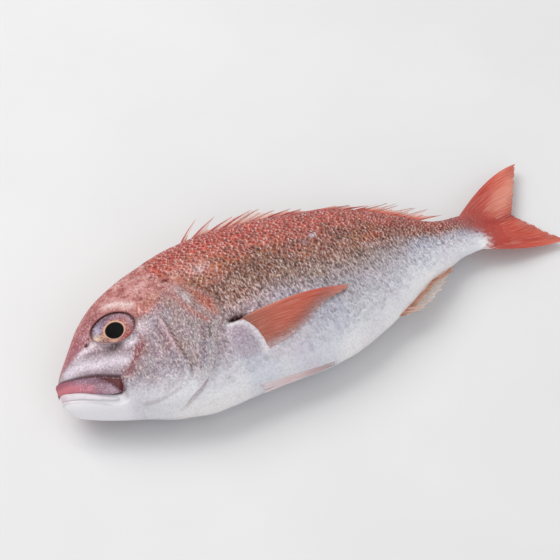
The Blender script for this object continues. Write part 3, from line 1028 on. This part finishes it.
def addEyes(coat):
    iris = irisMaterial()
    for name, side, node in (("Left", 1, "eye_left"), ("Right", -1, "eye_right")):
        def lid(u, v):
            x, y = orbitPlace(2 * math.pi * u, lidShare(v))
            return flankAt(x, y, lidHeight(v), faceRelief) * np.array([1, 1, side])

        def eye(u, ring):
            # rings that are round at the pupil and take the socket's shape further out
            turn = 2 * math.pi * u
            far = np.clip((ring - eyeLook["pupilRing"]) / (1 - eyeLook["pupilRing"]), 0, 1)
            farX, farY = orbitPlace(turn, eyeLook["rim"])
            near = np.minimum(ring / eyeLook["pupilRing"], 1)
            x = mix(eyeLook["pupilX"] + eyeLook["pupil"] * near * np.cos(turn), farX, far)
            y = mix(eyeLook["pupilY"] + eyeLook["pupilHigh"] * near * np.sin(turn), farY, far)
            return flankAt(x, y, eyeHeight(ring), lambda x, y: 0 * x) * np.array([1, 1, side])
        ring = wrapGrid("eyelid" + name, 160, 22, lid, merge=True)
        x, y = sideView(ring)
        share = orbitShare(x, y)
        giveCoat(ring, lidPaint(x, y, share), speckleAmount(x, y) * ease(1.03, 1.12, share), 0.0, 0.05)
        finishPiece(ring, coat)
        ball = wrapGrid("iris" + name, 128, 56, eye, merge=True)
        x, y = sideView(ball)
        away = np.hypot((x - eyeLook["pupilX"]) / eyeLook["pupil"], (y - eyeLook["pupilY"]) / eyeLook["pupilHigh"])
        toEdge = np.clip(1 - orbitShare(x, y) / eyeLook["rim"], 0, 1)
        outside = np.clip((away - 1) / (away - 1 + 2.2 * toEdge + 1e-6), 0, 1)
        ringAt = np.where(away < 1, eyeLook["pupilRing"] * away, mix(eyeLook["pupilRing"], 1, outside))
        givePaint(ball, irisPaint(x, y, ringAt))
        giveValue(ball, "fibre", ease(0.44, 0.52, ringAt))
        finishPiece(ball, iris, node)


# Fins in the middle plane
dorsalEdge = smoothLine((132, 15), (144, 12.5), (155, 10), (171, 12), (186, 7.5), (212, 3.5), (234, 6), (252, 10),
                        (261, 14), (283, 12.5), (288, 2.5))
analEdge = smoothLine((228, 3), (235, 7.2), (247, 11.8), (256, 11.4), (268, 6.2), (277, 1.7))
finLook = {"dorsalSpines": 12, "dorsalRays": 10, "analRays": 11, "tailRays": 18, "pectoralRays": 16, "pelvicRays": 6}
spineRoots = (110, 115.5, 124, 134, 143, 152, 161, 171, 181, 192, 203, 214)
spineReach = (21, 28, 31, 35, 31, 32, 33, 30, 31, 32, 30, 31)  # how far back of its root each tip lies
webShares = (0.15, 0.55, 0.85, 0.85, 0.84, 0.8, 0.84, 0.84, 0.88, 0.88, 0.88)


def backAt(x):
    return backLine(np.asarray(x) / fish["length"]) * fish["depth"]


def bellyAt(x):
    return bellyLine(np.asarray(x) / fish["length"]) * fish["depth"]


def sail(name, roots, tips, webShares, thickness, slack, cells=8, rows=18, seed=1.0):
    # a thin web between rays that are given by their roots and tips
    roots, tips = np.array(roots, float), np.array(tips, float)
    gaps = len(roots) - 1
    webShares = np.broadcast_to(np.asarray(webShares, float), (gaps,))

    def place(u, v):
        cell = np.clip(u * gaps, 0, gaps - 1e-6)
        i = cell.astype(int)
        part = np.where(u > 1 - 1e-9, 1.0, cell - i)
        web = np.sin(part * math.pi) ** 0.6
        root = mix(roots[i], roots[i + 1], part[:, None])
        tip = mix(tips[i], tips[i + 1], part[:, None])
        reach = v * (1 - (1 - webShares[i]) * web)
        xy = mix(root, tip, reach[:, None])
        wave = slack * np.sin(cell * 2.1 + seed) * reach + slack * 0.6 * web * np.sin(v * 3 + cell * 1.3)
        return np.stack([xy[:, 0], xy[:, 1], wave], -1)
    piece = wrapGrid(name, gaps * cells, rows, place)
    applyModifier(piece, "SOLIDIFY", thickness=thickness / 1000, offset=0)
    return piece


def spikes(name, roots, tips, radii, slack, seed=1.0):
    # stiff rays, each a tapered and slightly bent cone
    made = []
    for i, (root, tip, radius) in enumerate(zip(roots, tips, radii)):
        root, tip = np.array(root, float), np.array(tip, float)
        length = np.linalg.norm(tip - root)
        bpy.ops.object.select_all(action="DESELECT")
        bpy.ops.mesh.primitive_cone_add(vertices=10, radius1=radius, radius2=0.12, depth=length, end_fill_type="TRIFAN")
        spike = bpy.context.object
        bpy.ops.object.mode_set(mode="EDIT")
        bpy.ops.mesh.select_all(action="SELECT")
        bpy.ops.mesh.bisect(plane_co=(0, 0, -length * 0.2), plane_no=(0, 0, 1))
        bpy.ops.mesh.select_all(action="SELECT")
        bpy.ops.mesh.bisect(plane_co=(0, 0, length * 0.1), plane_no=(0, 0, 1))
        bpy.ops.object.mode_set(mode="OBJECT")
        local = vertexArray(spike).astype(float)
        share = local[:, 2] / length + 0.5
        direction = (tip - root) / length
        normal = np.array([-direction[1], direction[0]])
        bend = 0.035 * length * np.sin(share * math.pi)
        xy = root + share[:, None] * (tip - root) + normal * (local[:, 0] + bend)[:, None]
        wave = slack * math.sin(i * 2.1 + seed) * share
        setVertices(spike, layDown(np.stack([xy[:, 0], xy[:, 1], local[:, 1] + wave], -1)))
        made.append(spike)
    bpy.ops.object.select_all(action="DESELECT")
    for spike in made:
        spike.select_set(True)
    bpy.context.view_layer.objects.active = made[0]
    bpy.ops.object.join()
    piece = bpy.context.object
    piece.name = name
    piece.data.name = name
    return piece


def addDorsalFin():
    n = finLook["dorsalSpines"]
    share = np.linspace(0, 1, n)
    spineX, reach = np.array(spineRoots, float), np.array(spineReach, float)
    roots = np.stack([spineX, backAt(spineX) - 3], -1)
    tips = np.stack([spineX + reach, backAt(spineX + reach) + dorsalEdge(spineX + reach) - np.interp(spineX, [125, 140, 150], [0, 1.5, 0])], -1)
    web = sail("dorsalWeb", roots, tips, webShares, 0.2, 1.0, seed=0.6)
    x, y = sideView(web)
    over = np.clip((y - backAt(x)) / 9, 0, 1)
    givePaint(web, shade((0, (192, 74, 62)), (0.16, (204, 100, 86)), (0.3, (230, 176, 160)), (0.6, (240, 214, 204)), (1, (244, 226, 218)))(over))
    giveValue(web, "clear", ease(0.15, 0.5, over))
    finishPiece(web, finMaterial("dorsalWebSkin", n - 1, (206, 112, 100), 0.5, 0.55))
    stiff = spikes("dorsalSpines", roots, tips, mix(0.75, 1.0, ease(0.1, 0.3, share)), 1.0, seed=0.6)
    x, y = sideView(stiff)
    givePaint(stiff, shade((0, (182, 56, 50)), (0.3, (190, 82, 78)), (0.6, (204, 108, 100)), (1, (226, 164, 156)))(np.clip((y - backAt(x)) / 13, 0, 1)))
    finishPiece(stiff, spineMaterial())
    m = finLook["dorsalRays"]
    share = np.linspace(0, 1, m)
    rayX = mix(222, 265, share)
    reach = mix(29, 22, share) + np.array([0, 2, -1, 1, -2, 2, 0, 2, -1, 1])
    roots = np.stack([rayX, backAt(rayX) - 3], -1)
    tips = np.stack([rayX + reach, backAt(rayX + reach) + dorsalEdge(np.minimum(rayX + reach, 287))], -1)
    soft = sail("dorsalSoftRays", roots, tips, 0.6, 0.45, 0.8, cells=12, seed=2.0)
    x, y = sideView(soft)
    over = np.clip((y - backAt(x)) / 12, 0, 1)
    givePaint(soft, shade((0, (186, 70, 56)), (0.2, (206, 100, 84)), (0.4, (232, 176, 160)), (1, (246, 228, 220)))(over))
    giveValue(soft, "clear", ease(0.15, 0.6, over))
    finishPiece(soft, finMaterial("dorsalRaySkin", m - 1, (196, 84, 70), 0.85, 0.7))


def spineMaterial():
    n = Nodes("finSpine")
    streaks = n.noise(300, 4, 0.6)
    n.link(n.mixColour(n.range(streaks, 0.4, 0.75, 0, 0.5), n.attribute("paint"), (238, 190, 180)), n.shader.inputs["Base Color"])
    n.link(n.range(n.noise(800, 2), 0.3, 0.7, 0.25, 0.45), n.shader.inputs["Roughness"])
    n.set(Specular_IOR_Level=0.5, Coat_Weight=0.3, Coat_Roughness=0.15)
    n.link(n.bump(streaks, 0.2, 0.0002), n.shader.inputs["Normal"])
    return n.material


def addAnalFin():
    n = finLook["analRays"]
    share = np.linspace(0, 1, n)
    rayX = mix(218, 258, share)
    reach = mix(12, 19, ease(0, 0.3, share)) + np.array([0, 1, -1, 1, 0, 2, -1, 1, -1, 1, 0])
    roots = np.stack([rayX, bellyAt(rayX) + 3], -1)
    tips = np.stack([rayX + reach, bellyAt(rayX + reach) - analEdge(rayX + reach)], -1)
    web = sail("analFin", roots, tips, 0.86, 0.5, 0.7, cells=10, seed=4.0)
    x, y = sideView(web)
    over = np.clip((bellyAt(x) - y) / 11, 0, 1)
    over = over + 0.08 * cloud(x, y, 4, 12)
    givePaint(web, shade((0, (224, 208, 200)), (0.12, (184, 118, 90)), (0.26, (196, 148, 124)), (0.4, (208, 190, 178)),
                         (0.7, (222, 210, 202)), (1, (236, 230, 226)))(over))
    giveValue(web, "clear", ease(0.1, 0.5, over))
    finishPiece(web, finMaterial("analFinSkin", n - 1, (188, 152, 132), 0.45, 0.7))
    stiff = spikes("analSpines", roots[:3], tips[:3] + np.array([1.5, -0.3]), np.full(3, 0.8), 0.7, seed=4.0)
    givePaint(stiff, np.tile(lin((222, 168, 150)), (len(stiff.data.vertices), 1)))
    finishPiece(stiff, bpy.data.materials["finSpine"])


def addTailFin():
    rays = finLook["tailRays"]
    size = np.array([fish["tailLength"], fish["tailSpread"]])
    middle = np.array([(-0.05, 0.02), (0.29, 0.03), (0.58, 0.046)]) * size
    upper = np.array([(-0.05, 0.215), (0.583, 0.576), (0.985, 0.565)]) * size
    lower = np.array([(-0.05, -0.167), (0.517, -0.403), (0.985, -0.428)]) * size

    def place(u, w):
        # the sheet's two faces, from the root out to the rear margin and back
        v = 1 - np.abs(2 * w - 1)
        face = np.where(w < 0.5, 1.0, -1.0)
        side = 2 * u - 1
        reach = np.abs(side)[:, None]
        lobe = np.where((side > 0)[:, None, None], upper[None], lower[None])
        root, bend, tip = [mix(middle[k][None], lobe[:, k], reach) for k in range(3)]
        web = 0.5 - 0.5 * np.cos(2 * math.pi * rays * 3 * u)
        ragged = 0.022 * web * (1 + 0.6 * np.sin(u * 61)) + 0.008 * np.sin(u * 97 + 1)
        along = (v * (1 - ragged * ease(0.75, 1, v)))[:, None]
        xy = root * (1 - along) ** 2 + 2 * bend * along * (1 - along) + tip * along ** 2
        wave = 1.4 * np.sin(side * 2.6) * v - 2.0 * bump(side, 0.08, 0.14) * v + 0.35 * np.sin(side * 14 + 1) * v
        single = np.cos(2 * math.pi * rays * u)
        double = np.cos(2 * math.pi * rays * 2 * u)
        ridge = (0.16 * single * (1 - ease(0.35, 0.7, v)) + 0.1 * double * ease(0.35, 0.7, v)) * ease(0.1, 0.3, v)
        thick = (mix(1.1, 0.5, ease(0, 0.35, v)) - 0.22 * ease(0.5, 1, v) + ridge) * ease(0, 0.03, v) * (1 - side ** 12)
        thick = thick * (1 - ease(0.985, 1, v))
        return np.stack([fish["length"] + xy[:, 0], xy[:, 1], wave + face * thick], -1)
    tail = wrapGrid("tailFin", rays * 12, 92, place)
    uv = np.empty(len(tail.data.loops) * 2, np.float32)
    tail.data.uv_layers[0].data.foreach_get("uv", uv)
    uv[1::2] = 1 - np.abs(2 * uv[1::2] - 1)
    tail.data.uv_layers[0].data.foreach_set("uv", uv)
    bpy.ops.object.mode_set(mode="EDIT")
    bpy.ops.mesh.select_all(action="SELECT")
    bpy.ops.mesh.remove_doubles(threshold=2e-6)
    bpy.ops.mesh.normals_make_consistent(inside=False)
    bpy.ops.object.mode_set(mode="OBJECT")
    x, y = sideView(tail)
    flank = np.minimum(x, 300)
    givePaint(tail, paintTail(x, y, paintTrunk(flank, y, riseAt(flank, y))))
    uvFar = np.interp(np.abs(y - 3), [0, 12, 35], [333, 342, 357])
    giveValue(tail, "clear", ease(-7, 1, x - uvFar) * 0.8)
    finishPiece(tail, finMaterial("tailFinSkin", rays * 2, (168, 52, 44), 0.35, 0.3))


# Paired fins
pectoralMarginX = smoothLine((0, 197.6), (0.06, 195.4), (0.16, 186.5), (0.28, 177), (0.4, 170), (0.54, 162.4),
                             (0.7, 152.6), (0.83, 145), (0.94, 135), (1, 130))
pectoralMarginY = smoothLine((0, -17), (0.06, -19), (0.16, -21.2), (0.28, -24.2), (0.4, -27.6), (0.54, -31.6),
                             (0.7, -35.4), (0.83, -37.8), (0.94, -39.2), (1, -39.6))


def addPectoralFin(name, side):
    rays = finLook["pectoralRays"]

    def place(u, v):
        web = 0.5 - 0.5 * np.cos(2 * math.pi * rays * u)
        along = v * (1 - 0.05 * web * ease(0.8, 1, v))
        rootX, rootY = np.interp(u, [0, 0.2, 0.45, 0.75, 1], [118, 121.5, 124.5, 126, 126]), mix(-15.2, -39, u)
        tipX, tipY = pectoralMarginX(u), pectoralMarginY(u)
        bendX, bendY = mix(rootX, tipX, 0.62), mix(rootY, tipY, 0.62) + 7.0 * (1 - u) ** 2
        x = rootX * (1 - along) ** 2 + 2 * bendX * along * (1 - along) + tipX * along ** 2
        y = rootY * (1 - along) ** 2 + 2 * bendY * along * (1 - along) + tipY * along ** 2
        ridge = 0.2 * (0.5 + 0.5 * np.cos(2 * math.pi * rays * u)) * ease(0, 0.2, v)
        flow = 0.4 * np.sin(u * 5 + 0.6) * v + 0.5 * v ** 2 + 1.0 * v ** 2 * ease(0.4, 0, u)
        out = v * np.hypot(tipX - rootX, tipY - rootY)
        lift = mix(-0.7, 0.7, ease(0, 5, out)) + ridge * ease(3, 12, out) + flow - 0.25 * ease(0.85, 1, u)
        return flankAt(x, y, lift) * np.array([1, 1, side])
    fin = wrapGrid(name, rays * 8, 48, place)
    applyModifier(fin, "SOLIDIFY", thickness=0.0004, offset=-1 if side > 0 else 1)
    x, y = sideView(fin)
    far = np.clip((x - 124) / 72, 0, 1)
    paint = shade((0, (132, 72, 60)), (0.08, (164, 90, 74)), (0.3, (186, 96, 78)), (0.65, (192, 88, 70)), (1, (200, 84, 66)))(far)
    margin = np.interp(x, [127, 133, 143, 150, 159, 166, 174, 184, 195], [-40, -39, -37, -34.2, -30.1, -26, -22.6, -19.8, -17.5])
    low = 1 - ease(-2, 9, y - margin)
    paint = tint(paint, 0.6 * low, (226, 168, 152))
    paint = tint(paint, 0.35 * ease(0.1, 0.9, cloud(x, y * 2, 6, 61)), (180, 80, 62))
    paint = tint(paint, 0.5 * bump(y, np.interp(x, [125, 140, 157, 173, 186], [-14.5, -13.4, -12.8, -12.4, -13.8]), 0.8), (232, 160, 140))
    givePaint(fin, paint)
    giveValue(fin, "clear", low * (1 - 0.6 * ease(175, 190, x)))
    finishPiece(fin, bpy.data.materials.get("pectoralSkin") or finMaterial("pectoralSkin", rays * 2, (172, 74, 58), 0.35, 0.95))


def addPelvicFins():
    rays = finLook["pelvicRays"]
    for name, side in (("pelvicFinLeft", 1), ("pelvicFinRight", -1)):
        def place(u, v):
            web = 0.5 - 0.5 * np.cos(2 * math.pi * rays * u)
            along = v * (1 - 0.05 * web * ease(0.7, 1, v))
            x = mix(mix(112, 116, u), mix(171.5, 156, u ** 1.4), along)
            upper = np.interp(along, [0, 0.3, 0.55, 0.78, 1], [-76, -80, -83, -84.5, -86.5])
            angle = np.radians(mix(upper, mix(-89, -92, along), u))
            ridge = 0.18 * (0.5 + 0.5 * np.cos(2 * math.pi * rays * u)) * ease(0, 0.2, v)
            lift = (mix(-0.5, 0.35, ease(0, 0.15, v)) + 0.25 * v + ridge) * ease(0, 0.3, u) + 0.12 - 0.25 * (1 - ease(0, 0.2, u))
            return skinAt(x, angle if side > 0 else math.pi - angle, lift)[0]
        fin = wrapGrid(name, rays * 10, 36, place)
        applyModifier(fin, "SOLIDIFY", thickness=0.0004, offset=-1 if side > 0 else 1)
        x, y = sideView(fin)
        far = np.clip((x - 114) / 56, 0, 1)
        paint = shade((0, (230, 226, 229)), (0.3, (230, 216, 219)), (0.7, (228, 206, 208)), (1, (232, 220, 220)))(far)
        edge = np.interp(x, [114, 131, 145, 158, 172], [-51.5, -52.5, -52.4, -50.6, -47])
        givePaint(fin, tint(paint, 0.6 * bump(y, edge, 0.9), (176, 132, 158)))
        giveValue(fin, "clear", np.maximum(ease(0.5, 1, far), 1 - ease(0, 0.12, far)) * 0.9)
        finishPiece(fin, bpy.data.materials.get("pelvicSkin") or finMaterial("pelvicSkin", rays, (186, 132, 148), 0.35, 0.7))


addCamera()
addStudio()
print("camera and studio are in place")
coat = skinMaterial()
addSkin(coat)
print("skin is done")
scaleShape, scaleFaces = modelScale()
addScales("scalesLeft", 1, scaleShape, scaleFaces, coat)
addScales("scalesRight", -1, scaleShape, scaleFaces, coat)
print("scales are done")
addLips()
addEyes(coat)
print("head is done")
addDorsalFin()
addAnalFin()
addTailFin()
addPectoralFin("pectoralFinLeft", 1)
addPectoralFin("pectoralFinRight", -1)
addPelvicFins()
print("fins are done")
